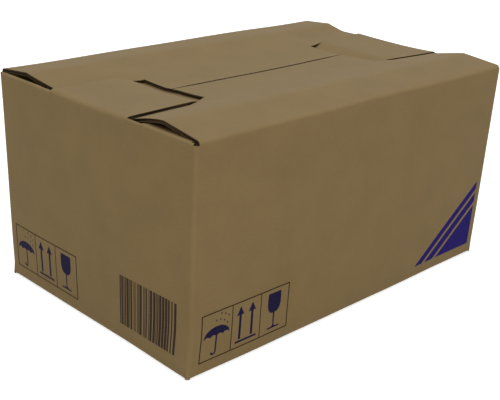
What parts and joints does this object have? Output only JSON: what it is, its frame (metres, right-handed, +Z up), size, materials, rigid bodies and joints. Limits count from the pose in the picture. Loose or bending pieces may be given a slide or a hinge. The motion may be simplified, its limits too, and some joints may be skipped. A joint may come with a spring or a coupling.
{
  "type": "closed cardboard box",
  "caption": "Closed shipping carton folded from one sheet of corrugated board, with a tab-locked top and plain handling signs.",
  "frame": {"origin": "middle of the outer length and width, on the surface that the carton stands on", "axes": "+Z up, X along the long panels, Y along the end panels with the front long panel on -Y"},
  "size_m": [0.4, 0.255, 0.2035],
  "materials": {
    "board": "matte"
  },
  "bodies": {
    "root": {"carton": "board"}
  },
  "joints": []
}
